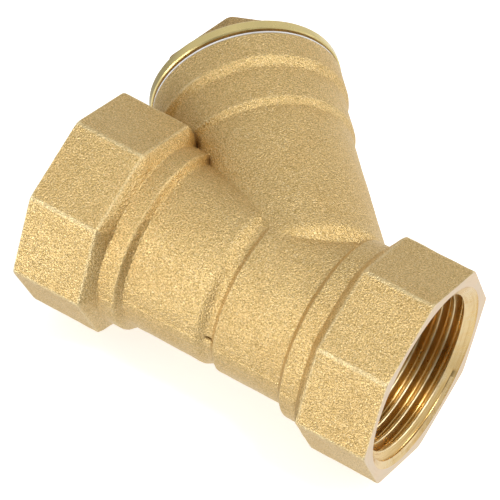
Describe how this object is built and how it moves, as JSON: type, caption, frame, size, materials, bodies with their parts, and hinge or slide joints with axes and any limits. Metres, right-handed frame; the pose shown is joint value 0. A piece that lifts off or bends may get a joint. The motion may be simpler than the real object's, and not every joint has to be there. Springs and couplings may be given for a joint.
{
  "type": "y strainer",
  "caption": "Brass Y strainer with octagonal female threaded ends, a 45 degree leg, a screwed hexagon cap, a flat gasket and a removable perforated screen.",
  "frame": {"origin": "middle of the run axis, halfway between the two end faces", "axes": "+X along the run towards the inlet end, +Y towards the side the leg leans out of, +Z normal to the plane of run and leg"},
  "size_m": [0.075, 0.0719, 0.0412],
  "materials": {
    "forged_brass": "shot-blasted forging",
    "machined_brass": "turned",
    "white_ptfe": "matte",
    "stainless_steel": "brushed"
  },
  "bodies": {
    "body": {"strainer_body": "forged_brass"},
    "gasket": {"cap_gasket": "white_ptfe"},
    "cap": {"cap": "machined_brass"},
    "screen": {"screen": "stainless_steel"}
  },
  "joints": [
    {"name": "gasket_lift", "type": "slide", "parent": "body", "child": "gasket", "axis": [-0.7071, 0.7071, 0], "range_m": [0, 0.00955]},
    {"name": "cap_turn", "type": "hinge", "parent": "gasket", "child": "cap", "pos_m": [-0.02378, 0.03628, 0], "axis": [-0.7071, 0.7071, 0], "range_deg": [0, 1710]},
    {"name": "screen_draw", "type": "slide", "parent": "body", "child": "screen", "axis": [-0.7071, 0.7071, 0], "range_m": [0, 0.00955]}
  ],
  "couplings": [
    {"joint": "gasket_lift", "follows": "cap_turn", "m_per_rad": 0.00031831},
    {"joint": "screen_draw", "follows": "cap_turn", "m_per_rad": 0.00031831}
  ]
}
